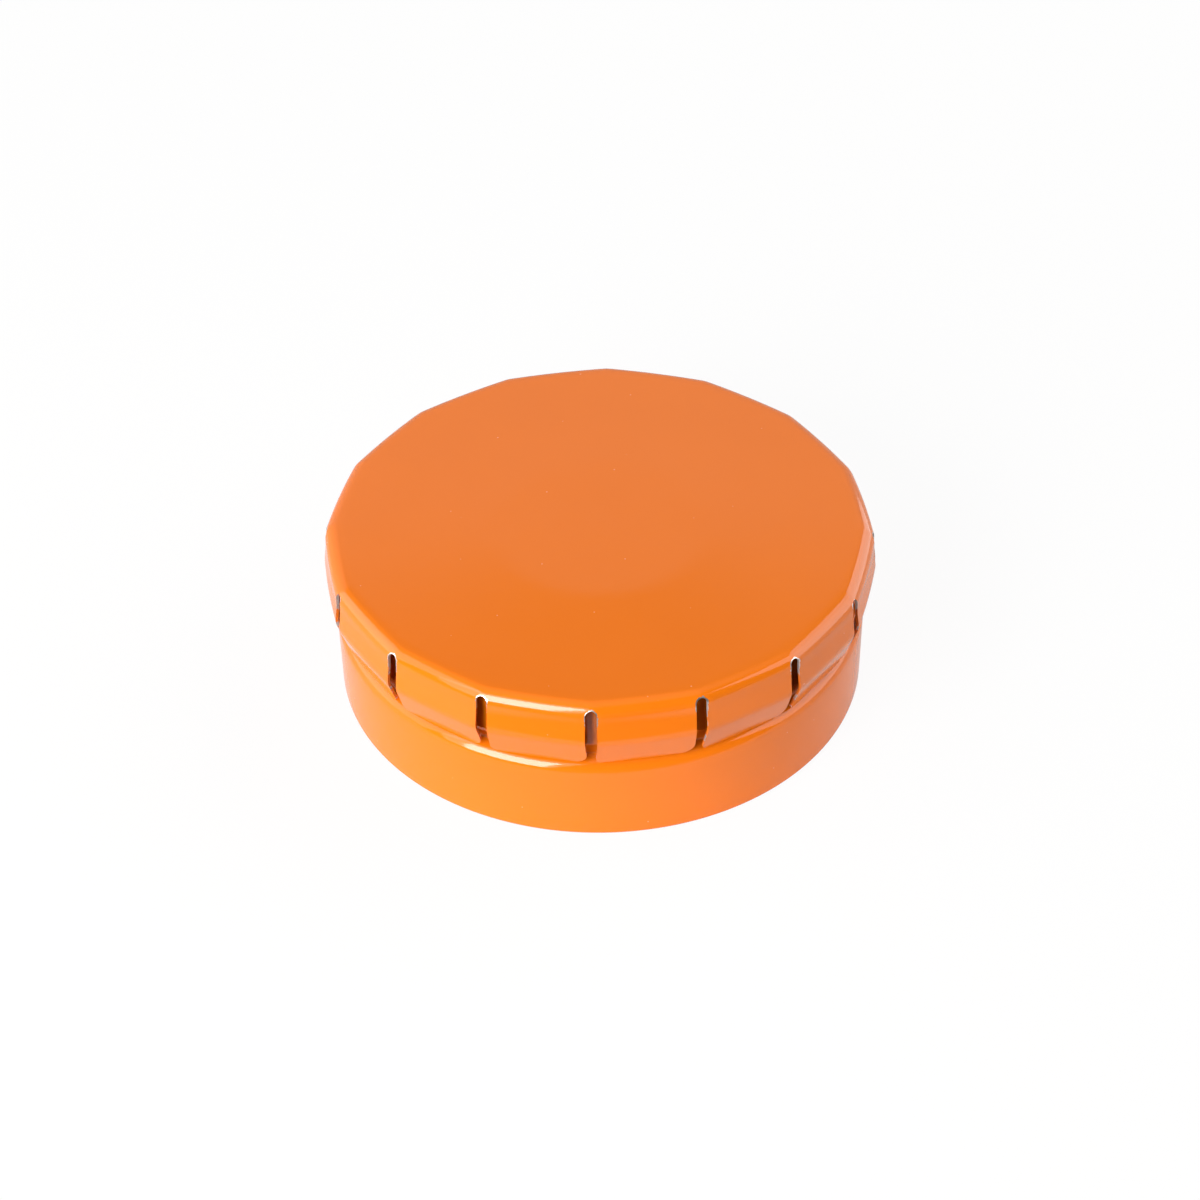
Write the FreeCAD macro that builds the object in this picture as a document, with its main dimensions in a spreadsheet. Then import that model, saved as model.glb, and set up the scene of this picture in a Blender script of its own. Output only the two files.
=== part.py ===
"""A round mint tin with a click lid.

The base is a drawn tinplate cup with a snap groove under its rim. The lid is one springy
stamping: pressing its panel swings the fingers of its slotted skirt out of the groove.
It is divided here at the lines where it bends. The tin stands on the plane Z = 0, with its
axis on Z and a slot of the lid on the X axis.
"""

import FreeCAD, Part
import math
import os

import Sketcher

SLOT_COUNT = 16
FULL_TURN = 360.0
PITCH = FULL_TURN / SLOT_COUNT
HALF_PITCH = math.radians(PITCH / 2)

# Driving dimensions, in millimetres
SIZES = {
    # tinplate
    "sheet_gauge": 0.25,
    # base: wall and floor
    "wall_radius": 23.6,
    "wall_draft": 0.2,
    "foot_fillet": 0.4,
    "stand_width": 2.3,
    "floor_slope_run": 0.7,
    "floor_rise": 0.5,
    "floor_fillet": 0.4,
    # base: shoulder, snap groove and rim
    "shoulder_height": 7.85,
    "shoulder_fillet": 1.2,
    "rim_step": 0.67,
    "groove_depth": 0.62,
    "groove_rise": 0.65,
    "groove_fillet": 0.35,
    "flank_rise": 1.55,
    "flank_fillet": 0.6,
    "mouth_height": 14.95,
    "curl_radius": 0.75,
    # lid: panel and shoulder
    "lid_clearance": 0.1,
    "lid_fillet": 1.2,
    "corner_fillet": 3.0,
    "side_bow": 0.165,
    "panel_margin": 0.43,
    "panel_clearance": 0.05,
    "panel_rise": 0.04,
    "spot_radius": 9.5,
    "spot_dip": 0.02,
    # lid: slots and fingers
    "slot_width": 1.0,
    "slot_top_drop": 0.5,
    "seam_drop": 1.5,
    "seam_gap": 0.04,
    "finger_clearance": 0.07,
    "finger_lean": 0.83,
    "finger_flare": 0.22,
    "bend_drop": 3.95,
    "bend_fillet": 2.0,
    "tip_drop": 0.05,
    "tip_fillet_left": 0.5,
    "tip_fillet_right": 1.2,
    # how far a cut runs past the metal that it cuts
    "overrun": 2.0,
}


class Size:
    """A length, with the expression that gives it from the sheet."""

    def __init__(self, value, text):
        self.value = value
        self.text = text

    def __add__(self, other):
        return Size(self.value + other.value, f"({self.text} + {other.text})")

    def __sub__(self, other):
        return Size(self.value - other.value, f"({self.text} - {other.text})")

    def __mul__(self, share):
        return Size(self.value * share, f"({self.text} * {share!r})")

    def __neg__(self):
        return self * -1


doc = FreeCAD.newDocument("mint_tin")
sheet = doc.addObject("Spreadsheet::Sheet", "sizes")
for row, (name, number) in enumerate(SIZES.items(), start=1):
    sheet.set(f"A{row}", name)
    sheet.set(f"B{row}", str(number))
    sheet.setAlias(f"B{row}", name)
doc.recompute()


def size(name):
    return Size(float(sheet.get(name)), f"sizes.{name}")


def smaller(first, second):
    """The smaller of two lengths."""
    return Size(min(first.value, second.value), f"min({first.text}; {second.text})")


def arc_radius(half_chord, rise):
    """The radius of the arc that stands rise above a chord."""
    value = (half_chord.value**2 + rise.value**2) / (2 * rise.value)
    text = f"(({half_chord.text}^2 + {rise.text}^2) / (2 * {rise.text}))"
    return Size(value, text)


ZERO = Size(0.0, "0")
gauge = size("sheet_gauge")
overrun = size("overrun")

# Base, from the floor up
wall_radius = size("wall_radius")
foot_radius = wall_radius - size("wall_draft")
stand_radius = foot_radius - size("stand_width")
floor_radius = stand_radius - size("floor_slope_run")
floor_height = size("floor_rise")
shoulder_height = size("shoulder_height")
rim_radius = wall_radius - size("rim_step")
groove_radius = rim_radius - size("groove_depth")
groove_height = shoulder_height + size("groove_rise")
flank_top = groove_height + size("flank_rise")
mouth_height = size("mouth_height")
curl_radius = size("curl_radius")
curl_height = mouth_height - curl_radius
mouth_radius = rim_radius - curl_radius * 2

# Lid, from the panel down
lid_under = mouth_height + size("lid_clearance")
lid_top = lid_under + gauge
seam_height = lid_top - size("seam_drop")
finger_top = seam_height - size("seam_gap")
slot_top = lid_top - size("slot_top_drop")
hole_radius = mouth_radius - size("panel_margin")
panel_radius = hole_radius - size("panel_clearance")
bend_height = lid_top - size("bend_drop")
tip_height = groove_height - size("tip_drop")

# Skirt, in plan: a polygon with its corners at the slots and its sides bowed outward
tip_radius = rim_radius + size("finger_clearance") + gauge
side_radius = tip_radius + size("finger_lean")
bend_radius = side_radius + size("finger_flare")
side_bow = size("side_bow")
half_side = (side_radius - side_bow) * math.tan(HALF_PITCH)
corner_radius = (side_radius - side_bow) * (1 / math.cos(HALF_PITCH))
bow_radius = arc_radius(half_side, side_bow)
half_slot = size("slot_width") * 0.5
half_finger = half_side - half_slot - size("seam_gap")


def new_body(label):
    body = doc.addObject("PartDesign::Body", label)
    body.Label = label
    return body


def new_sketch(body, name, plane, height=None):
    """A sketch on one of the body's origin planes, raised by a height where one is given."""
    sketch = body.newObject("Sketcher::SketchObject", name)
    support = next(f for f in body.Origin.OriginFeatures if f.Role == plane)
    sketch.AttachmentSupport = [(support, "")]
    sketch.MapMode = "FlatFace"
    if height is not None:
        sketch.setExpression("AttachmentOffset.Base.z", height.text)
    return sketch


def bind(sketch, kind, *parts):
    """Adds a constraint whose last part is a Size, bound to the sheet."""
    *where, length = parts
    index = sketch.addConstraint(Sketcher.Constraint(kind, *where, length.value))
    sketch.setExpression(f"Constraints[{index}]", length.text)


def pin(sketch, line, end, point):
    """Holds one end of a line or arc at a point measured from the sketch's origin."""
    for kind, axis, length in (("DistanceX", -2, point[0]), ("DistanceY", -1, point[1])):
        if length is ZERO:
            sketch.addConstraint(Sketcher.Constraint("PointOnObject", line, end, axis))
        elif length.value > 0:
            bind(sketch, kind, -1, 1, line, end, length)
        else:
            bind(sketch, kind, line, end, -1, 1, -length)


def draw(sketch, points, arcs=None):
    """Draws a closed outline through points. arcs gives the radius of each round side, by its number.

    A positive radius bulges to the right of the way that the outline runs, a negative one to the left.
    """
    arcs = arcs or {}
    first = sketch.GeometryCount
    last = first + len(points) - 1
    for number, start in enumerate(points):
        finish = points[(number + 1) % len(points)]
        a = FreeCAD.Vector(start[0].value, start[1].value, 0)
        b = FreeCAD.Vector(finish[0].value, finish[1].value, 0)
        if number not in arcs:
            sketch.addGeometry(Part.LineSegment(a, b))
            continue
        radius = arcs[number].value
        chord = b - a
        outward = FreeCAD.Vector(chord.y, -chord.x, 0).normalize()
        reach = math.sqrt(radius**2 - (chord.Length / 2) ** 2)
        sagitta = math.copysign(abs(radius) - reach, radius)
        sketch.addGeometry(Part.Arc(a, (a + b) * 0.5 + outward * sagitta, b))
    ends = {}
    for line in range(first, last + 1):
        reverse = line - first in arcs and arcs[line - first].value < 0
        ends[line] = (2, 1) if reverse else (1, 2)
    for number, point in enumerate(points):
        line = first + number
        before = last if line == first else line - 1
        start, finish = ends[line][0], ends[before][1]
        sketch.addConstraint(Sketcher.Constraint("Coincident", before, finish, line, start))
        pin(sketch, line, start, point)
    for number, radius in arcs.items():
        length = radius if radius.value > 0 else -radius
        bind(sketch, "Radius", first + number, length)
    return sketch


def revolve(body, name, sketch):
    feature = body.newObject("PartDesign::Revolution", name)
    feature.Profile = sketch
    feature.ReferenceAxis = (sketch, ["V_Axis"])
    feature.Angle = FULL_TURN
    doc.recompute()
    return feature


def fillet(body, name, base, edges, radius):
    feature = body.newObject("PartDesign::Fillet", name)
    feature.Base = (base, edges)
    feature.setExpression("Radius", radius.text)
    doc.recompute()
    return feature


def near(value, length):
    return math.isclose(value, length.value, rel_tol=0, abs_tol=gauge.value / 100)


def ring_edges(feature, radius, height):
    """The names of the round edges about Z at a radius and a height."""
    names = []
    for number, edge in enumerate(feature.Shape.Edges, start=1):
        curve = edge.Curve
        if isinstance(curve, Part.Circle) and near(curve.Radius, radius) and near(curve.Center.z, height):
            names.append(f"Edge{number}")
    return names


def flat_face(feature, height):
    """The name of the level face at a height."""
    for number, face in enumerate(feature.Shape.Faces, start=1):
        box = face.BoundBox
        if near(box.ZMin, height) and near(box.ZMax, height):
            return f"Face{number}"


def shell(body, name, base, open_face):
    """Hollows a solid inward to the sheet's gauge, open at one face."""
    feature = body.newObject("PartDesign::Thickness", name)
    feature.Base = (base, [open_face])
    feature.setExpression("Value", gauge.text)
    feature.Reversed = True
    feature.Join = "Intersection"
    doc.recompute()
    return feature


def on_circle(radius, turns):
    """A point at a radius, the given number of slot pitches round from the X axis."""
    angle = math.radians(PITCH * turns)
    return radius * math.cos(angle), radius * math.sin(angle)


def cut(body, name, sketch, reverse=False):
    """Cuts a sketch's outline right through the body, to one side of the sketch."""
    feature = body.newObject("PartDesign::Pocket", name)
    feature.Profile = sketch
    feature.Type = "ThroughAll"
    feature.Reversed = reverse
    before = feature.BaseFeature.Shape.Volume
    doc.recompute()
    if not feature.Shape.Volume < before:
        raise RuntimeError(f"{name} cuts nothing")
    return feature


def is_upright(edge):
    box = edge.BoundBox
    return near(box.ZMin, seam_height) and near(box.ZMax, lid_top)


def is_level(edge, height):
    box = edge.BoundBox
    return near(box.ZMin, height) and near(box.ZMax, height)


def bend_edges(feature, radius):
    """The names of a finger's round edges at its bend, at a radius from the centre of its bowed side."""
    names = []
    for number, edge in enumerate(feature.Shape.Edges, start=1):
        if is_level(edge, bend_height) and near(edge.Curve.Radius, radius):
            names.append(f"Edge{number}")
    return names


def tin_base():
    """The cup: a recessed floor, a standing ring, a wall, a shoulder, a snap groove and a curl."""
    body = new_body("tin_base")
    outline = draw(
        new_sketch(body, "cup_outline", "XZ_Plane"),
        [
            (ZERO, floor_height),
            (floor_radius, floor_height),
            (stand_radius, ZERO),
            (foot_radius, ZERO),
            (wall_radius, shoulder_height),
            (groove_radius, groove_height),
            (rim_radius, flank_top),
            (rim_radius, curl_height),
            (ZERO, curl_height),
        ],
    )
    cup = revolve(body, "cup", outline)
    corners = [
        ("floor_bend", floor_radius, floor_height, "floor_fillet"),
        ("stand_bend", stand_radius, ZERO, "floor_fillet"),
        ("foot_bend", foot_radius, ZERO, "foot_fillet"),
        ("shoulder_bend", wall_radius, shoulder_height, "shoulder_fillet"),
        ("groove_bend", groove_radius, groove_height, "groove_fillet"),
        ("flank_bend", rim_radius, flank_top, "flank_fillet"),
    ]
    for name, radius, height, bend in corners:
        cup = fillet(body, name, cup, ring_edges(cup, radius, height), size(bend))
    shell(body, "cup_shell", cup, flat_face(cup, curl_height))

    # The mouth's safe edge: three quarters of a turn, curled inward
    middle = rim_radius - curl_radius
    inner = curl_radius - gauge
    curl = draw(
        new_sketch(body, "curl_outline", "XZ_Plane"),
        [
            (middle + curl_radius, curl_height),
            (middle, curl_height + curl_radius),
            (middle - curl_radius, curl_height),
            (middle, curl_height - curl_radius),
            (middle, curl_height - inner),
            (middle - inner, curl_height),
            (middle, curl_height + inner),
            (middle + inner, curl_height),
        ],
        {0: curl_radius, 1: curl_radius, 2: curl_radius, 4: -inner, 5: -inner, 6: -inner},
    )
    revolve(body, "mouth_curl", curl)
    return body


def lid_rim():
    """The lid's rounded shoulder and the flat ring inside it, with the round tops of the slots."""
    body = new_body("lid_rim")
    corners = [on_circle(corner_radius, turns) for turns in range(SLOT_COUNT)]
    sides = {number: bow_radius for number in range(SLOT_COUNT)}
    plan = draw(new_sketch(body, "lid_plan", "XY_Plane", seam_height), corners, sides)
    blank = body.newObject("PartDesign::Pad", "lid_blank")
    blank.Profile = plan
    blank.setExpression("Length", (lid_top - seam_height).text)
    doc.recompute()

    upright = [f"Edge{n}" for n, edge in enumerate(blank.Shape.Edges, start=1) if is_upright(edge)]
    rounded = fillet(body, "corner_bends", blank, upright, size("corner_fillet"))
    top = [f"Edge{n}" for n, edge in enumerate(rounded.Shape.Edges, start=1) if is_level(edge, lid_top)]
    shouldered = fillet(body, "lid_shoulder", rounded, top, size("lid_fillet"))
    shell(body, "lid_shell", shouldered, flat_face(shouldered, seam_height))

    hole = new_sketch(body, "panel_hole_outline", "XY_Plane", lid_top)
    hole.addGeometry(Part.Circle(FreeCAD.Vector(), FreeCAD.Vector(0, 0, 1), hole_radius.value))
    hole.addConstraint(Sketcher.Constraint("Coincident", 0, 3, -1, 1))
    bind(hole, "Radius", 0, hole_radius)
    cut(body, "panel_hole", hole)

    slot = draw(
        new_sketch(body, "slot_outline", "YZ_Plane"),
        [
            (-half_slot, seam_height - overrun),
            (half_slot, seam_height - overrun),
            (half_slot, slot_top - half_slot),
            (ZERO, slot_top),
            (-half_slot, slot_top - half_slot),
        ],
        {2: half_slot, 3: half_slot},
    )
    first_slot = cut(body, "slot_top_cut", slot, reverse=True)
    slots = body.newObject("PartDesign::PolarPattern", "slot_tops")
    slots.Originals = [first_slot]
    slots.Axis = (next(f for f in body.Origin.OriginFeatures if f.Role == "Z_Axis"), [""])
    slots.Angle = FULL_TURN
    slots.Occurrences = SLOT_COUNT
    body.Tip = slots
    doc.recompute()
    return body


def lid_panel():
    """The lid's centre: it sweeps up by a hair to a faintly dished spot where the thumb presses."""
    body = new_body("lid_panel")
    crown = lid_top + size("panel_rise")
    spot_radius = size("spot_radius")
    spot_dip = size("spot_dip")
    sweep = arc_radius(panel_radius - spot_radius, size("panel_rise"))
    dish = arc_radius(spot_radius, spot_dip)
    profile = draw(
        new_sketch(body, "panel_profile", "XZ_Plane"),
        [
            (ZERO, crown - spot_dip - gauge),
            (spot_radius, crown - gauge),
            (panel_radius, lid_top - gauge),
            (panel_radius, lid_top),
            (spot_radius, crown),
            (ZERO, crown - spot_dip),
        ],
        {0: dish, 1: sweep, 3: -sweep, 4: -dish},
    )
    revolve(body, "panel", profile)
    return body


def lid_finger(number):
    """One finger of the skirt: flaring below the rim, then leaning in to a tip with round corners."""
    body = new_body(f"lid_finger_{number:02d}")

    # The finger's section, swept round the centre of its bowed side
    behind = bow_radius - side_radius
    top_out, top_in = side_radius, side_radius - gauge
    bend_out, bend_in = bend_radius, bend_radius - gauge
    tip_out, tip_in = tip_radius, tip_radius - gauge
    section = draw(
        new_sketch(body, f"finger_section_{number:02d}", "XZ_Plane"),
        [
            (tip_in, tip_height),
            (tip_out, tip_height),
            (bend_out, bend_height),
            (top_out, finger_top),
            (top_in, finger_top),
            (bend_in, bend_height),
        ],
    )
    foot = FreeCAD.Vector(-behind.value, 0, 0)
    head = FreeCAD.Vector(-behind.value, overrun.value, 0)
    axis = section.addGeometry(Part.LineSegment(foot, head), True)
    section.addConstraint(Sketcher.Constraint("Vertical", axis))
    pin(section, axis, 1, (-behind, ZERO))
    bind(section, "DistanceY", axis, 1, axis, 2, overrun)
    strip = body.newObject("PartDesign::Revolution", f"finger_strip_{number:02d}")
    strip.Profile = section
    strip.ReferenceAxis = (section, ["Axis0"])
    strip.setExpression("Angle", f"2 * asin(({half_finger.text} + {overrun.text}) / {bow_radius.text})")
    strip.Midplane = True
    doc.recompute()
    # The bend's fillet is no larger than the height of the leaning end below it
    bend = smaller(size("bend_fillet"), bend_height - tip_height)
    bent = fillet(body, f"outer_bend_{number:02d}", strip, bend_edges(strip, bend_out + behind), bend)
    fillet(body, f"inner_bend_{number:02d}", bent, bend_edges(bent, bend_in + behind), bend - gauge)

    # The flat outline, seen from the front: everything outside it is cut away
    left_bend, right_bend = size("tip_fillet_left"), size("tip_fillet_right")
    left, right = -half_finger, half_finger
    trim = new_sketch(body, f"finger_outline_{number:02d}", "YZ_Plane")
    draw(
        trim,
        [
            (left - overrun * 2, tip_height - overrun),
            (right + overrun * 2, tip_height - overrun),
            (right + overrun * 2, finger_top + overrun * 2),
            (left - overrun * 2, finger_top + overrun * 2),
        ],
    )
    draw(
        trim,
        [
            (left + left_bend, tip_height),
            (right - right_bend, tip_height),
            (right, tip_height + right_bend),
            (right, finger_top + overrun),
            (left, finger_top + overrun),
            (left, tip_height + left_bend),
        ],
        {1: right_bend, 5: left_bend},
    )
    cut(body, f"finger_trim_{number:02d}", trim, reverse=True)
    body.Placement = FreeCAD.Placement(
        FreeCAD.Vector(), FreeCAD.Rotation(FreeCAD.Vector(0, 0, 1), PITCH * (number - 0.5))
    )
    doc.recompute()
    return body


pieces = [tin_base(), lid_rim(), lid_panel()]
pieces += [lid_finger(number) for number in range(1, SLOT_COUNT + 1)]

doc.recompute()
failed = [item.Name for item in doc.Objects if "Invalid" in item.State or "Error" in item.State]
if failed:
    raise RuntimeError(f"failed features: {failed}")
for piece in pieces:
    if piece.Shape.isNull() or not piece.Shape.isValid() or len(piece.Shape.Solids) != 1:
        raise RuntimeError(f"{piece.Label} is not one valid solid")

os.makedirs("parts", exist_ok=True)
for piece in pieces:
    piece.Shape.exportStep(f"parts/{piece.Label}.step")
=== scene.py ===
"""The looks of a round mint tin with a click lid: orange lacquered tinplate in plain studio light."""

import math

import bmesh
import bpy
import numpy as np
from mathutils import Matrix, Vector


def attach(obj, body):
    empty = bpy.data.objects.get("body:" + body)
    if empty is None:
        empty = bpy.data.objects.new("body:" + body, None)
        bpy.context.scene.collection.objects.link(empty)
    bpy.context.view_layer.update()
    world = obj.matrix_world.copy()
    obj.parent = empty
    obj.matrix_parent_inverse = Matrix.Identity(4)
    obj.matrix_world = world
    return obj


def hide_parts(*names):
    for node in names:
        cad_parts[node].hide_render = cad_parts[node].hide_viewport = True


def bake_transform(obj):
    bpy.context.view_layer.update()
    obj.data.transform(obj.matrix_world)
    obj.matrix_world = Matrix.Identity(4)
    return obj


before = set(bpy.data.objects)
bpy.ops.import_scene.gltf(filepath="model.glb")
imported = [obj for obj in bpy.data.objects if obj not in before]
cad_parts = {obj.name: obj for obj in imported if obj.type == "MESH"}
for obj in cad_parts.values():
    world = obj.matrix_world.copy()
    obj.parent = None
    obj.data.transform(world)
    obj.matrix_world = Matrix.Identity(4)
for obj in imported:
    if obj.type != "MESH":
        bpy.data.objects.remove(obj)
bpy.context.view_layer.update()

MM = 0.001
WELD = 0.0005 * MM

# Sizes of the tin in millimetres, as in the CAD source
GAUGE = 0.25
CUP_CORNERS = [
    # radius, height, bend radius
    (0.0, 0.5, 0.0),
    (20.4, 0.5, 0.4),
    (21.1, 0.0, 0.4),
    (23.4, 0.0, 0.4),
    (23.6, 7.85, 1.2),
    (22.31, 8.5, 0.35),
    (22.93, 10.05, 0.6),
    (22.93, 14.2, 0.0),
]
CURL_CENTRE, CURL_HEIGHT, CURL_RADIUS = 22.18, 14.2, 0.75
LID_TOP, LID_BEND = 15.3, 1.2
SHOULDER_FOOT = LID_TOP - LID_BEND
PANEL_RADIUS, SPOT_RADIUS = 20.95, 9.5
PANEL_RISE, SPOT_DIP = 0.04, 0.02
SLOT_COUNT = 16
HALF_PITCH = math.pi / SLOT_COUNT
SLOT_HALF, SLOT_TOP = 0.5, 14.8
ARCH_CENTRE = SLOT_TOP - SLOT_HALF
SIDE_RADIUS, SIDE_BOW, CORNER_BEND = 24.08, 0.165, 3.0
TIP_LEFT, TIP_RIGHT = 0.5, 1.2
FINGER_CORNERS = [
    # radius, height, bend radius
    (23.25, 8.45, 0.0),
    (24.3, 11.35, 2.0),
    (24.08, 13.4, 8.0),
    (24.08, 13.9, 0.0),
]
TIP_HEIGHT, SEAM_HEIGHT = FINGER_CORNERS[0][1], FINGER_CORNERS[-1][1]

# The bowed side of the lid, in plan, about a centre that lies behind the tin's axis
HALF_SIDE = (SIDE_RADIUS - SIDE_BOW) * math.tan(HALF_PITCH)
BOW_RADIUS = (HALF_SIDE**2 + SIDE_BOW**2) / (2 * SIDE_BOW)
BEHIND = BOW_RADIUS - SIDE_RADIUS

# Shares of the way from the middle of a finger to its edge, close together at the edge
EDGE_SHARES = [0.0, 0.2, 0.4, 0.6, 0.78, 0.9, 0.95, 0.97, 0.985, 1.0]
COLUMN_SHARES = [-s for s in EDGE_SHARES[:0:-1]] + EDGE_SHARES

# Radii of the rows of points on the panel, close together in the middle and at the ring
PANEL_ROWS = np.concatenate([[0.0, 0.4], np.linspace(1.0, 20.2, 25), [20.6, 21.0, 21.4, 21.8]])

# Bare metal round the slots: its reach from the edge, and how it thins out from one height down to another
WEAR_WIDTH, WEAR_FULL, WEAR_THIN = 0.35, 14.2, 12.8
LEAST_WEAR = 0.6

# Colours that are used more than once, and the lacquer's paler tone, as sRGB
ORANGE, PALE_ORANGE, WHITE = "DF6E0B", "E3710D", "FFFFFF"

# Places of the finishes in each piece's list of materials
LACQUER, INSIDE, CUT = 0, 1, 2

# Places of the Mix node's sockets, which share their names between numbers and colours
NUMBER_A, NUMBER_B, COLOUR_A, COLOUR_B, COLOUR_OUT = 2, 3, 6, 7, 2

# How far off the lamps stand and half of the card's width, in metres
LAMP_DISTANCE, CARD_HALF = 0.5, 1.5
# How far the card lies below the tin, and where in front of the tin it is painted dark, as painted shade for
# the dark room at the camera's side
CARD_DROP = 0.01
CARD_DARK, CARD_PALE = -41.5, -36.5
# Levels of the card in that painted shade and under the tin, as the tin sees it
CARD_PAINTED_SHADE, CARD_LIT = 0.12, 0.75
# Levels of the room in the gloss: behind the camera, on the backdrop, in the gap above it and on the ceiling
ROOM_DARK, ROOM_WHITE, ROOM_GAP, ROOM_CEILING = 0.04, 0.84, 0.25, 0.48
# Level of the room's light on dull surfaces, and of what the camera sees behind the tin
ROOM_FILL, ROOM_SEEN = 0.1, 1.0


def linear(colour):
    """A linear colour from an sRGB hex value."""
    parts = [int(colour[i : i + 2], 16) / 255 for i in (0, 2, 4)]
    return [p / 12.92 if p <= 0.04045 else ((p + 0.055) / 1.055) ** 2.4 for p in parts] + [1.0]


def add(tree, kind, inputs=None, **settings):
    """Adds a node with its settings. Each input is a value, or a socket that is linked to it."""
    made = tree.nodes.new(kind)
    for name, value in settings.items():
        setattr(made, name, value)
    for name, value in (inputs or {}).items():
        if isinstance(value, bpy.types.NodeSocket):
            tree.links.new(value, made.inputs[name])
        else:
            made.inputs[name].default_value = value
    return made


def new_material(name):
    material = bpy.data.materials.new(name)
    material.use_nodes = True
    material.node_tree.nodes.clear()
    return material, material.node_tree


def per_mm(size):
    """The scale of a pattern whose features are that many millimetres across."""
    return 1 / (size * MM)


def orange_lacquer():
    """Orange lacquer, rolled thin onto tinplate and stoved before the sheet was drawn.

    It gives the eye a deep even orange under a sharp gloss that ripples faintly, a few specks of dust,
    and bright metal where the press chipped it along the slots.
    """
    material, tree = new_material("orange_lacquer_on_tinplate")
    place = add(tree, "ShaderNodeTexCoord").outputs["Object"]

    tone = add(tree, "ShaderNodeTexNoise", {"Vector": place, "Scale": per_mm(9.0), "Detail": 2.0})
    colour = add(
        tree,
        "ShaderNodeMix",
        {"Factor": tone.outputs["Fac"], COLOUR_A: linear(ORANGE), COLOUR_B: linear(PALE_ORANGE)},
        data_type="RGBA",
    )

    # Dust under the lacquer: pale specks up to 0.16 mm wide in some cells of a 1.2 mm pattern
    cells = add(tree, "ShaderNodeTexVoronoi", {"Vector": place, "Scale": per_mm(1.2)})
    chosen = add(tree, "ShaderNodeSeparateColor", {"Color": cells.outputs["Color"]})
    width = add(
        tree,
        "ShaderNodeMapRange",
        {"Value": chosen.outputs["Red"], "From Min": 0.6, "From Max": 1.0, "To Min": 0.0, "To Max": 0.065},
    )
    near = add(
        tree,
        "ShaderNodeMath",
        {0: cells.outputs["Distance"], 1: width.outputs["Result"]},
        operation="LESS_THAN",
    )
    dust = add(tree, "ShaderNodeMath", {0: near.outputs["Value"], 1: 0.35}, operation="MULTIPLY")
    dusty = add(
        tree,
        "ShaderNodeMix",
        {"Factor": dust.outputs["Value"], COLOUR_A: colour.outputs[COLOUR_OUT], COLOUR_B: linear("F6C9A6")},
        data_type="RGBA",
    )

    # Chips along the cut edges, about 0.4 mm long, and fewer at some of the slots
    worn = add(tree, "ShaderNodeAttribute", attribute_name="worn")
    ragged = add(tree, "ShaderNodeTexNoise", {"Vector": place, "Scale": per_mm(0.4), "Detail": 3.0})
    hard = add(
        tree,
        "ShaderNodeMapRange",
        {"Value": tone.outputs["Fac"], "From Min": 0.35, "From Max": 0.65, "To Min": 0.65, "To Max": 1.05},
    )
    lift = add(
        tree,
        "ShaderNodeMath",
        {0: worn.outputs["Fac"], 1: hard.outputs["Result"], 2: ragged.outputs["Fac"]},
        operation="MULTIPLY_ADD",
    )
    chips = add(
        tree,
        "ShaderNodeMapRange",
        {"Value": lift.outputs["Value"], "From Min": 1.18, "From Max": 1.26},
        interpolation_type="SMOOTHSTEP",
    )
    bare = chips.outputs["Result"]
    surface = add(
        tree,
        "ShaderNodeMix",
        {"Factor": bare, COLOUR_A: dusty.outputs[COLOUR_OUT], COLOUR_B: linear("D9D6D2")},
        data_type="RGBA",
    )
    cloud = add(tree, "ShaderNodeTexNoise", {"Vector": place, "Scale": per_mm(3.0), "Detail": 2.0})
    gloss = add(
        tree,
        "ShaderNodeMapRange",
        {"Value": cloud.outputs["Fac"], "To Min": 0.06, "To Max": 0.11},
    )
    rough = add(tree, "ShaderNodeMix", {"Factor": bare, NUMBER_A: gloss.outputs["Result"], NUMBER_B: 0.32})

    # Orange peel, 0.8 mm between its crests
    peel = add(tree, "ShaderNodeTexNoise", {"Vector": place, "Scale": per_mm(0.8), "Detail": 1.0})
    ripple = add(
        tree,
        "ShaderNodeBump",
        {"Height": peel.outputs["Fac"], "Strength": 0.35, "Distance": 0.006 * MM},
    )
    shader = add(
        tree,
        "ShaderNodeBsdfPrincipled",
        {
            "Base Color": surface.outputs[COLOUR_OUT],
            "Metallic": bare,
            "Roughness": rough.outputs[0],
            "IOR": 1.5,
            "Normal": ripple.outputs["Normal"],
        },
    )
    add(tree, "ShaderNodeOutputMaterial", {"Surface": shader.outputs["BSDF"]})
    return material


def plain_tinplate():
    """Tin-coated rolled steel with a clear lacquer inside the tin.

    It gives the eye a soft grey mirror, drawn out into fine lines along the way that the sheet was rolled.
    """
    material, tree = new_material("rolled_tinplate")
    place = add(tree, "ShaderNodeTexCoord").outputs["Object"]
    # Rolling lines about 8 mm long. The real ones are too fine to show, so they are drawn 0.25 mm apart
    along = add(
        tree,
        "ShaderNodeMapping",
        {"Vector": place, "Scale": (per_mm(8.0), per_mm(0.25), per_mm(8.0))},
    )
    lines = add(tree, "ShaderNodeTexNoise", {"Vector": along.outputs["Vector"], "Scale": 1.0, "Detail": 3.0})
    colour = add(
        tree,
        "ShaderNodeMix",
        {"Factor": lines.outputs["Fac"], COLOUR_A: linear("B9B4AA"), COLOUR_B: linear("D2CEC6")},
        data_type="RGBA",
    )
    rough = add(
        tree,
        "ShaderNodeMapRange",
        {"Value": lines.outputs["Fac"], "To Min": 0.24, "To Max": 0.38},
    )
    grain = add(
        tree,
        "ShaderNodeBump",
        {"Height": lines.outputs["Fac"], "Strength": 0.25, "Distance": 0.004 * MM},
    )
    shader = add(
        tree,
        "ShaderNodeBsdfPrincipled",
        {
            "Base Color": colour.outputs[COLOUR_OUT],
            "Metallic": 1.0,
            "Roughness": rough.outputs["Result"],
            "Normal": grain.outputs["Normal"],
        },
    )
    add(tree, "ShaderNodeOutputMaterial", {"Surface": shader.outputs["BSDF"]})
    return material


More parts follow.
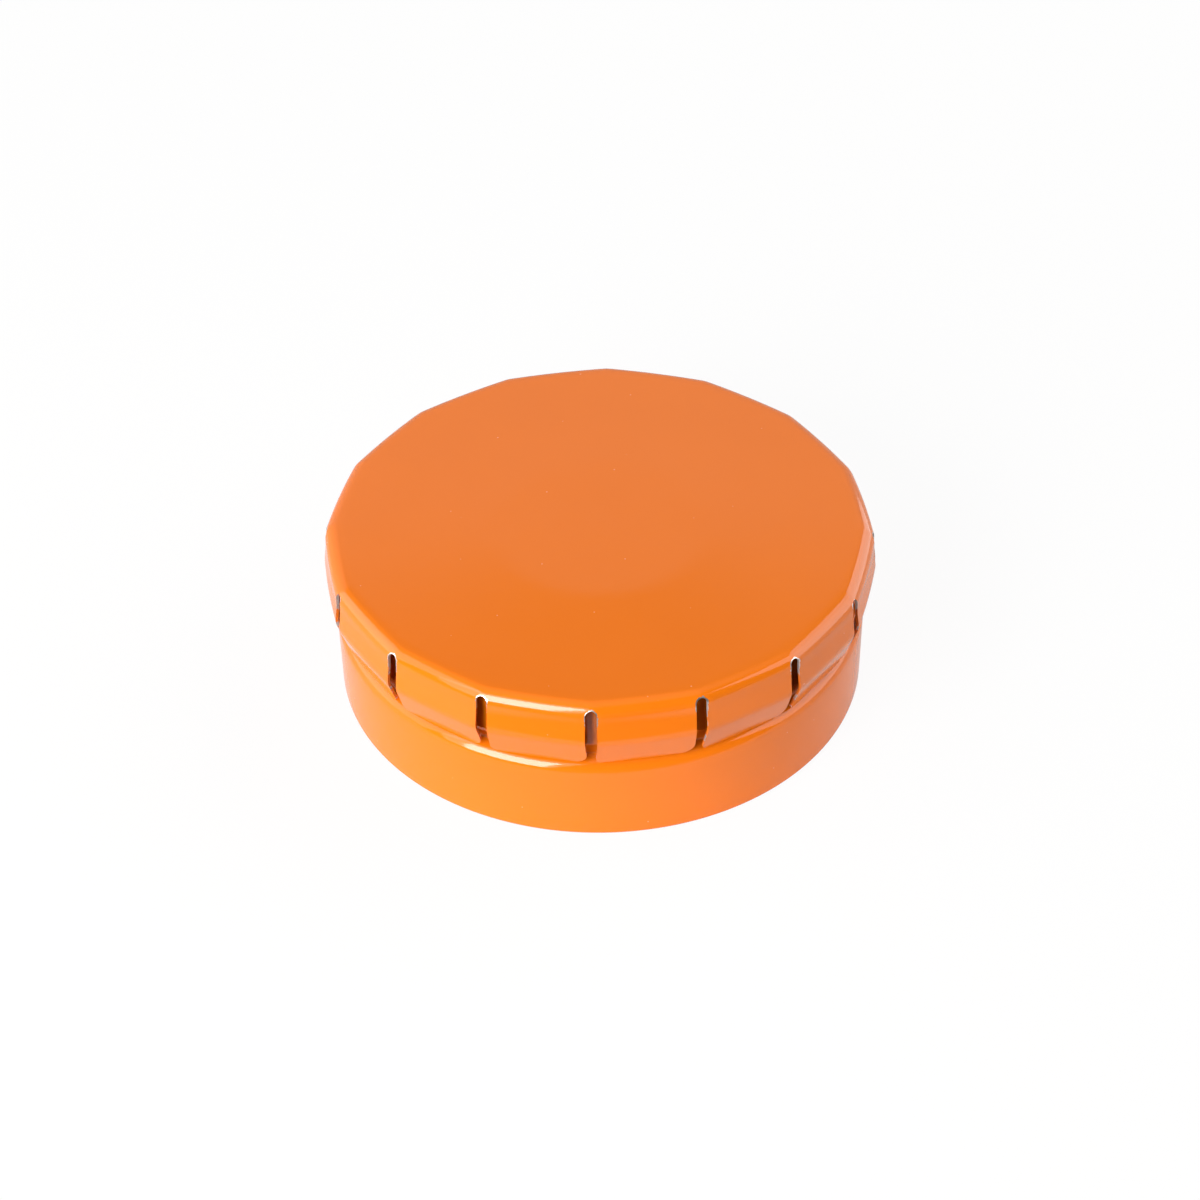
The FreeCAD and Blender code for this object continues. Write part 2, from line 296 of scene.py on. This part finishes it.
def sheared_tinplate():
    """The cut edge of the sheet, sheared by the press.

    It gives the eye a thin bright line round the tops of the slots, and lower down an edge that is smeared
    with lacquer.
    """
    material, tree = new_material("sheared_tinplate_edge")
    place = add(tree, "ShaderNodeTexCoord").outputs["Object"]
    # Smears of lacquer 0.9 mm long, and the shear's streaks, drawn coarser than they are, at 0.12 mm, to show
    streaks = add(tree, "ShaderNodeTexNoise", {"Vector": place, "Scale": per_mm(0.12), "Detail": 2.0})
    smears = add(tree, "ShaderNodeTexNoise", {"Vector": place, "Scale": per_mm(0.9), "Detail": 2.0})
    worn = add(tree, "ShaderNodeAttribute", attribute_name="worn")
    lift = add(tree, "ShaderNodeMath", {0: smears.outputs["Fac"], 1: worn.outputs["Fac"]}, operation="ADD")
    bare = add(
        tree,
        "ShaderNodeMapRange",
        {"Value": lift.outputs["Value"], "From Min": 1.1, "From Max": 1.2},
        interpolation_type="SMOOTHSTEP",
    )
    steel = add(
        tree,
        "ShaderNodeMix",
        {"Factor": streaks.outputs["Fac"], COLOUR_A: linear("C4C0BA"), COLOUR_B: linear("EFECE8")},
        data_type="RGBA",
    )
    colour = add(
        tree,
        "ShaderNodeMix",
        {"Factor": bare.outputs["Result"], COLOUR_A: linear(ORANGE), COLOUR_B: steel.outputs[COLOUR_OUT]},
        data_type="RGBA",
    )
    rough = add(
        tree,
        "ShaderNodeMapRange",
        {"Value": streaks.outputs["Fac"], "To Min": 0.45, "To Max": 0.7},
    )
    shader = add(
        tree,
        "ShaderNodeBsdfPrincipled",
        {
            "Base Color": colour.outputs[COLOUR_OUT],
            "Metallic": bare.outputs["Result"],
            "Roughness": rough.outputs["Result"],
        },
    )
    add(tree, "ShaderNodeOutputMaterial", {"Surface": shader.outputs["BSDF"]})
    return material


def bent_path(corners, step, arc_step=math.radians(9)):
    """Points along a section through corners, each rounded to its bend radius."""
    points = [np.array(corners[0][:2])]
    for before, corner, after in zip(corners, corners[1:], corners[2:]):
        at = np.array(corner[:2])
        back = np.array(before[:2]) - at
        back /= np.linalg.norm(back)
        ahead = np.array(after[:2]) - at
        ahead /= np.linalg.norm(ahead)
        opening = math.acos(np.clip(back @ ahead, -1, 1))
        start = at + back * corner[2] / math.tan(opening / 2)
        middle = (back + ahead) / np.linalg.norm(back + ahead)
        centre = at + middle * corner[2] / math.sin(opening / 2)
        first = start - centre
        turn = math.pi - opening
        side = math.copysign(1.0, back[0] * ahead[1] - back[1] * ahead[0])
        count = max(2, round(turn / arc_step))
        straight(points, start, step)
        for number in range(1, count + 1):
            angle = -side * turn * number / count
            c, s = math.cos(angle), math.sin(angle)
            points.append(centre + np.array([c * first[0] - s * first[1], s * first[0] + c * first[1]]))
    straight(points, np.array(corners[-1][:2]), step)
    return np.array(points)


def straight(points, end, step):
    """Goes on from the last point to end in equal steps."""
    start = points[-1]
    count = max(1, round(np.linalg.norm(end - start) / step))
    points.extend(start + (end - start) * number / count for number in range(1, count + 1))


def outward(points):
    """The unit normals on the right-hand side of a path."""
    along = np.gradient(points, axis=0)
    along /= np.linalg.norm(along, axis=1)[:, None]
    return np.stack([along[:, 1], -along[:, 0]], axis=1)


def add_grid(bm, rows, finish, closed=False):
    """Adds rows of points as a surface, and returns its vertices row by row."""
    grid = [[bm.verts.new(Vector(point) * MM) for point in row] for row in rows]
    for upper, lower in zip(grid, grid[1:]):
        add_strip(bm, upper, lower, finish, closed)
    return grid


def add_strip(bm, upper, lower, finish, closed=False):
    """Joins two rows of vertices with faces."""
    count = len(upper)
    for number in range(count if closed else count - 1):
        after = (number + 1) % count
        face = bm.faces.new([upper[number], upper[after], lower[after], lower[number]])
        face.material_index = finish


def slot_wear(x, y, z):
    """How worn a finger is, in its own frame: most at a slot's round top, and less lower down."""
    aside = abs(x * math.sin(HALF_PITCH) - abs(y) * math.cos(HALF_PITCH))
    gap = math.hypot(aside, max(0.0, z - ARCH_CENTRE)) - SLOT_HALF
    most = np.interp(z, (WEAR_THIN, WEAR_FULL), (LEAST_WEAR, 1.0))
    return most * min(1.0, max(0.0, 1 - gap / WEAR_WIDTH))


def add_worn_grid(bm, rows, turn, finish):
    """Adds the rows of one finger as a surface, turned to its place, with the wear round its slots."""
    worn = bm.verts.layers.float.get("worn") or bm.verts.layers.float.new("worn")
    grid = add_grid(bm, [[turn @ Vector(point) for point in row] for row in rows], finish)
    for row, verts in zip(rows, grid):
        for point, vert in zip(row, verts):
            vert[worn] = slot_wear(*point)
    return grid


def new_piece(name, bm, materials, crease):
    """Makes an object of a mesh, smooth up to the crease angle in degrees."""
    bmesh.ops.remove_doubles(bm, verts=bm.verts, dist=WELD)
    bmesh.ops.dissolve_degenerate(bm, edges=bm.edges, dist=WELD)
    bmesh.ops.recalc_face_normals(bm, faces=bm.faces)
    mesh = bpy.data.meshes.new(name)
    bm.to_mesh(mesh)
    bm.free()
    mesh.shade_smooth()
    mesh.set_sharp_from_angle(angle=math.radians(crease))
    for material in materials:
        mesh.materials.append(material)
    piece = bpy.data.objects.new(name, mesh)
    bpy.context.scene.collection.objects.link(piece)
    return piece


def base_cup(materials):
    """The drawn cup: one sheet, from the middle of the floor to the end of the curl, turned about Z."""
    steps = 160
    skin = bent_path(CUP_CORNERS, step=0.9)
    # The curl runs on from the rim, over the mouth and down inside, to the bottom of its circle
    turns = np.radians(np.arange(10, 271, 10))
    curl = np.stack(
        [CURL_CENTRE + CURL_RADIUS * np.cos(turns), CURL_HEIGHT + CURL_RADIUS * np.sin(turns)], axis=1
    )
    outside = np.concatenate([skin, curl])
    inside = outside - outward(outside) * GAUGE
    inside[0] = outside[0] + (0, GAUGE)
    angles = np.arange(steps) * 2 * math.pi / steps

    def turned(section):
        return [[(r * math.cos(a), r * math.sin(a), z) for a in angles] for r, z in section]

    bm = bmesh.new()
    outer = add_grid(bm, turned(outside), LACQUER, closed=True)
    inner = add_grid(bm, turned(inside), INSIDE, closed=True)
    add_strip(bm, outer[-1], inner[-1], CUT, closed=True)
    return new_piece("base_cup", bm, materials, crease=50)


# Plan of the lid's side, in a finger's own frame: a bowed side, then the rounded corner at the slot
CORNER_CENTRE = math.sqrt((BOW_RADIUS - CORNER_BEND) ** 2 - (BEHIND * math.sin(HALF_PITCH)) ** 2) - (
    BEHIND * math.cos(HALF_PITCH)
)
CORNER_START = math.atan2(
    CORNER_CENTRE * math.sin(HALF_PITCH), CORNER_CENTRE * math.cos(HALF_PITCH) + BEHIND
)


def side_reach(inset, half_slot):
    """How far along the inset side the slot's edge lies from the middle of the finger."""
    bow, corner = BOW_RADIUS - inset, CORNER_BEND - inset
    turn = HALF_PITCH - math.asin(min(1.0, half_slot / corner))
    if turn >= CORNER_START:
        return bow * CORNER_START + corner * (turn - CORNER_START)
    return bow * (HALF_PITCH - math.asin((half_slot + BEHIND * math.sin(HALF_PITCH)) / bow))


def side_point(reach, inset):
    """The point that far along the inset side from the middle of the finger."""
    bow, corner = BOW_RADIUS - inset, CORNER_BEND - inset
    turn = abs(reach) / bow
    x, y = bow * math.cos(turn) - BEHIND, bow * math.sin(turn)
    if turn > CORNER_START:
        turn = CORNER_START + (abs(reach) - bow * CORNER_START) / corner
        x = CORNER_CENTRE * math.cos(HALF_PITCH) + corner * math.cos(turn)
        y = CORNER_CENTRE * math.sin(HALF_PITCH) + corner * math.sin(turn)
    return x, math.copysign(y, reach)


def panel_heights(radii):
    """The panel's height above the ring: it sweeps up to a crease, inside which the spot is dished."""
    inward = np.clip((PANEL_RADIUS - radii) / (PANEL_RADIUS - SPOT_RADIUS), 0, 1)
    spread = np.clip(radii / SPOT_RADIUS, 0, 1)
    return PANEL_RISE * inward**2 - SPOT_DIP * (1 - spread**2)


def lid_cap(materials):
    """The lid's panel, ring and shoulder as one sheet down to the flex line, with the slots' round tops."""
    domed = panel_heights(PANEL_ROWS)
    ring_shares = [0.5, 1.0]
    upper_shares = np.linspace(0, 1, 10)[1:]
    slot_turns = np.radians([75, 60, 45, 30, 15, 0])

    def skin(below):
        """The rows of points of one pitch, on the outer skin, or below it by the gauge."""
        bend = LID_BEND - below
        top = LID_TOP - below
        edge = [side_point(s * side_reach(LID_BEND, 0.0), LID_BEND) for s in COLUMN_SHARES]
        bearings = [math.atan2(y, x) for x, y in edge]
        rows = [
            [(r * math.cos(a), r * math.sin(a), top + h) for a in bearings] for r, h in zip(PANEL_ROWS, domed)
        ]
        for share in ring_shares:
            rows.append(
                [
                    (
                        (1 - share) * PANEL_ROWS[-1] * math.cos(a) + share * x,
                        (1 - share) * PANEL_ROWS[-1] * math.sin(a) + share * y,
                        top,
                    )
                    for a, (x, y) in zip(bearings, edge)
                ]
            )
        lowest = math.asin((SLOT_TOP - SHOULDER_FOOT) / bend)
        section = []
        for share in upper_shares:
            tilt = math.pi / 2 + (lowest - math.pi / 2) * share
            section.append((tilt, SHOULDER_FOOT + bend * math.sin(tilt), 0.0))
        for turn in slot_turns:
            height = ARCH_CENTRE + SLOT_HALF * math.sin(turn)
            section.append((math.asin((height - SHOULDER_FOOT) / bend), height, SLOT_HALF * math.cos(turn)))
        for height in (SHOULDER_FOOT + 0.1, SHOULDER_FOOT, SHOULDER_FOOT - 0.1, SEAM_HEIGHT):
            tilt = math.asin(max(0.0, height - SHOULDER_FOOT) / bend)
            section.append((tilt, height, SLOT_HALF))
        for tilt, height, half_slot in section:
            inset = LID_BEND - bend * math.cos(tilt)
            reach = side_reach(inset, half_slot)
            rows.append([(*side_point(s * reach, inset), height) for s in COLUMN_SHARES])
        return rows

    arch = len(PANEL_ROWS) + len(ring_shares) + len(upper_shares) - 1
    bm = bmesh.new()
    for number in range(SLOT_COUNT):
        turn = Matrix.Rotation(HALF_PITCH * (2 * number + 1), 3, "Z")
        outer, inner = (
            add_worn_grid(bm, skin(below), turn, finish)
            for below, finish in ((0.0, LACQUER), (GAUGE, INSIDE))
        )
        for side in (0, -1):
            add_strip(bm, [row[side] for row in outer[arch:]], [row[side] for row in inner[arch:]], CUT)
        add_strip(bm, outer[-1], inner[-1], CUT)
    cap = new_piece("lid_cap", bm, materials, crease=45)

    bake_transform(cap)
    return cap


def lid_finger(number, materials):
    """One finger, from the flex line down: it flares, then leans in to a tip with round corners."""
    path = bent_path(FINGER_CORNERS, step=0.1, arc_step=math.radians(1))
    # Rows of points: close together round the tip's corners, and then evenly up to the flex line
    tip = TIP_HEIGHT + TIP_RIGHT * (1 - np.cos(np.radians(np.arange(0, 91, 15))))
    heights = np.concatenate([tip, np.linspace(tip[-1], SEAM_HEIGHT, 25)[1:]])
    radius, lean_out, lean_up = (
        np.interp(heights, path[:, 1], values) for values in (path[:, 0], *outward(path).T)
    )
    outside = np.stack([radius, heights], axis=1)
    inside = outside - np.stack([lean_out, lean_up], axis=1) * GAUGE

    def half_width(inset, corner, height):
        """Half of the finger's width at a height, narrowed by the round corner at its tip."""
        bow = BOW_RADIUS - inset
        full = bow * math.sin(side_reach(inset, SLOT_HALF) / bow)
        rise = min(corner, height - TIP_HEIGHT)
        return full - corner + math.sqrt(corner**2 - (corner - rise) ** 2)

    def skin(section, inset):
        rows = []
        for (r, z), (_, height) in zip(section, outside):
            bow = r + BEHIND
            row = []
            for share in COLUMN_SHARES:
                corner = TIP_RIGHT if share > 0 else TIP_LEFT
                turn = share * math.asin(half_width(inset, corner, height) / bow)
                row.append((bow * math.cos(turn) - BEHIND, bow * math.sin(turn), z))
            rows.append(row)
        return rows

    bm = bmesh.new()
    turn = Matrix.Rotation(HALF_PITCH * (2 * number - 1), 3, "Z")
    outer, inner = (
        add_worn_grid(bm, skin(section, inset), turn, finish)
        for section, inset, finish in ((outside, 0.0, LACQUER), (inside, GAUGE, INSIDE))
    )
    for side in (0, -1):
        add_strip(bm, [row[side] for row in outer], [row[side] for row in inner], CUT)
        add_strip(bm, outer[side], inner[side], CUT)
    finger = new_piece(f"lid_skirt_{number:02d}", bm, materials, crease=45)
    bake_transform(finger)
    return finger


def pale_floor():
    """A sheet of white card under the tin.

    The camera sees it white all over. The tin sees it painted dark in front: painted shade that stands in for
    the dark room where the camera stands.
    """
    material, tree = new_material("white_card")
    place = add(tree, "ShaderNodeNewGeometry").outputs["Position"]
    spot = add(tree, "ShaderNodeSeparateXYZ", {"Vector": place})
    # Painted shade: the card is painted dark in front of the tin, so the tin mirrors dark there and takes
    # less bounce light from it
    card = add(
        tree,
        "ShaderNodeMapRange",
        {
            "Value": spot.outputs["Y"],
            "From Min": CARD_DARK * MM,
            "From Max": CARD_PALE * MM,
            "To Min": CARD_PAINTED_SHADE,
            "To Max": CARD_LIT,
        },
        interpolation_type="SMOOTHSTEP",
    )
    path = add(tree, "ShaderNodeLightPath")
    camera_ray = path.outputs["Is Camera Ray"]
    level = add(
        tree,
        "ShaderNodeMix",
        {"Factor": camera_ray, NUMBER_A: card.outputs["Result"], NUMBER_B: ROOM_SEEN},
    )
    white = add(tree, "ShaderNodeEmission", {"Color": linear(WHITE), "Strength": level.outputs[0]})
    shade = add(tree, "ShaderNodeCombineColor", {c: card.outputs["Result"] for c in ("Red", "Green", "Blue")})
    own = add(
        tree,
        "ShaderNodeMix",
        {"Factor": camera_ray, COLOUR_A: shade.outputs["Color"], COLOUR_B: linear("EDEBE8")},
        data_type="RGBA",
    )
    lit = add(tree, "ShaderNodeBsdfDiffuse", {"Color": own.outputs[COLOUR_OUT]})
    # Gloss shows half of the card's own shade, so that the tin mirrors its own shadow too
    mirrored = add(
        tree,
        "ShaderNodeMath",
        {0: path.outputs["Is Glossy Ray"], 1: path.outputs["Is Transmission Ray"]},
        operation="MAXIMUM",
    )
    part = add(tree, "ShaderNodeMath", {0: mirrored.outputs[0], 1: 0.5}, operation="MULTIPLY")
    shown = add(tree, "ShaderNodeMath", {0: part.outputs[0], 1: camera_ray}, operation="MAXIMUM")
    # Near the tin a little of the card's own shade stays under the white, so that the tin's shadow shows
    away = add(tree, "ShaderNodeVectorMath", {0: place}, operation="LENGTH")
    clean = add(
        tree,
        "ShaderNodeMapRange",
        {"Value": away.outputs["Value"], "From Min": 0.1, "From Max": 0.5, "To Min": 0.93, "To Max": 1.0},
    )
    share = add(
        tree, "ShaderNodeMath", {0: shown.outputs[0], 1: clean.outputs["Result"]}, operation="MULTIPLY"
    )
    either = add(tree, "ShaderNodeMixShader", {0: share.outputs[0], 1: lit.outputs[0], 2: white.outputs[0]})
    # From below the card isn't there, so that the tin's underside can be looked at
    under = add(tree, "ShaderNodeNewGeometry").outputs["Backfacing"]
    clear = add(tree, "ShaderNodeBsdfTransparent")
    surface = add(tree, "ShaderNodeMixShader", {0: under, 1: either.outputs[0], 2: clear.outputs[0]})
    add(tree, "ShaderNodeOutputMaterial", {"Surface": surface.outputs[0]})

    mesh = bpy.data.meshes.new("floor")
    half, low = CARD_HALF, -CARD_DROP * MM
    corners = [(-half, -half, low), (half, -half, low), (half, half, low), (-half, half, low)]
    mesh.from_pydata(corners, [], [(0, 1, 2, 3)])
    mesh.materials.append(material)
    floor = bpy.data.objects.new("floor", mesh)
    bpy.context.scene.collection.objects.link(floor)


def studio_light():
    """A pale room with a white backdrop and a dark end behind the camera, and softboxes on three sides."""
    world = bpy.data.worlds.new("studio")
    bpy.context.scene.world = world
    world.use_nodes = True
    tree = world.node_tree
    tree.nodes.clear()
    way = add(tree, "ShaderNodeSeparateXYZ", {"Vector": add(tree, "ShaderNodeTexCoord").outputs["Generated"]})
    # The backdrop is white up to 40 degrees, with a dim gap between it and a pale ceiling
    backdrop = add(
        tree,
        "ShaderNodeMapRange",
        {
            "Value": way.outputs["Z"],
            "From Min": 0.622,
            "From Max": 0.652,
            "To Min": ROOM_WHITE,
            "To Max": ROOM_GAP,
        },
        interpolation_type="SMOOTHSTEP",
    )
    behind = add(tree, "ShaderNodeMapRange", {"Value": way.outputs["Y"], "From Min": -0.2, "From Max": 0.1})
    walls = add(
        tree,
        "ShaderNodeMix",
        {"Factor": behind.outputs["Result"], NUMBER_A: ROOM_DARK, NUMBER_B: backdrop.outputs["Result"]},
    )
    above = add(tree, "ShaderNodeMapRange", {"Value": way.outputs["Z"], "From Min": 0.82, "From Max": 0.94})
    room = add(
        tree,
        "ShaderNodeMix",
        {"Factor": above.outputs["Result"], NUMBER_A: walls.outputs[0], NUMBER_B: ROOM_CEILING},
    )
    path = add(tree, "ShaderNodeLightPath")
    seen = add(
        tree,
        "ShaderNodeMath",
        {0: path.outputs["Is Glossy Ray"], 1: path.outputs["Is Transmission Ray"]},
        operation="MAXIMUM",
    )
    level = add(
        tree,
        "ShaderNodeMix",
        {"Factor": seen.outputs[0], NUMBER_A: ROOM_FILL, NUMBER_B: room.outputs[0]},
    )
    shown = add(
        tree,
        "ShaderNodeMix",
        {"Factor": path.outputs["Is Camera Ray"], NUMBER_A: level.outputs[0], NUMBER_B: ROOM_SEEN},
    )
    light = add(tree, "ShaderNodeBackground", {"Color": linear(WHITE), "Strength": shown.outputs[0]})
    add(tree, "ShaderNodeOutputWorld", {"Surface": light.outputs["Background"]})

    softbox("key_softbox", bearing=-125, rise=21, wide=33, tall=43, level=12.0)
    # The key's soft edge, which shows only in the gloss
    key_glow = softbox("key_glow", bearing=-128, rise=27, wide=46, tall=54, level=2.2)
    key_glow.visible_diffuse = False
    softbox("left_softbox", bearing=178, rise=28, wide=50, tall=54, level=1.75)
    softbox("right_softbox", bearing=20, rise=27, wide=80, tall=54, level=2.2)


def softbox(name, bearing, rise, wide, tall, level):
    """A lamp that faces the tin. Its place and its size are angles in degrees, seen from the tin."""
    across, up = (2 * LAMP_DISTANCE * math.tan(math.radians(angle) / 2) for angle in (wide, tall))
    lamp = bpy.data.lights.new(name, "AREA")
    lamp.shape = "RECTANGLE"
    lamp.size, lamp.size_y = across, up
    lamp.energy = level * math.pi * across * up
    a, e = math.radians(bearing), math.radians(rise)
    way = Vector((math.cos(a) * math.cos(e), math.sin(a) * math.cos(e), math.sin(e)))
    box = bpy.data.objects.new(name, lamp)
    box.location = way * LAMP_DISTANCE
    box.rotation_mode = "QUATERNION"
    box.rotation_quaternion = (-way).to_track_quat("-Z", "Y")
    bpy.context.scene.collection.objects.link(box)
    return box


def camera():
    """The photograph's view, fitted to the slots, the corners and the outline of the tin."""
    turn, rise, roll = math.radians(2.25), math.radians(39.78), math.radians(0.857)
    distance, aim_side, aim_height = 347.06 * MM, -0.0316 * MM, 6.862 * MM
    right = Vector((math.cos(turn), math.sin(turn), 0))
    back = Vector((math.sin(turn) * math.cos(rise), -math.cos(turn) * math.cos(rise), math.sin(rise)))
    up = back.cross(right)
    lens = bpy.data.cameras.new("camera")
    lens.sensor_width = 36
    lens.lens = 115.94
    lens.clip_start, lens.clip_end = 0.01, 10
    seen = bpy.data.objects.new("camera", lens)
    across = right * math.cos(roll) - up * math.sin(roll)
    upward = right * math.sin(roll) + up * math.cos(roll)
    place = right * aim_side + Vector((0, 0, aim_height)) + back * distance
    seen.matrix_world = Matrix((across, upward, back)).transposed().to_4x4()
    seen.location = place
    bpy.context.scene.collection.objects.link(seen)
    bpy.context.scene.camera = seen


camera()
finishes = [orange_lacquer(), plain_tinplate(), sheared_tinplate()]

cup = base_cup(finishes)
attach(cup, "base")
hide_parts("tin_base")

cap = lid_cap(finishes)
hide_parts("lid_rim", "lid_panel")

for number in range(1, SLOT_COUNT + 1):
    finger = lid_finger(number, finishes)
    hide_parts(f"lid_finger_{number:02d}")

pale_floor()
studio_light()
bpy.context.scene.view_settings.view_transform = "Standard"
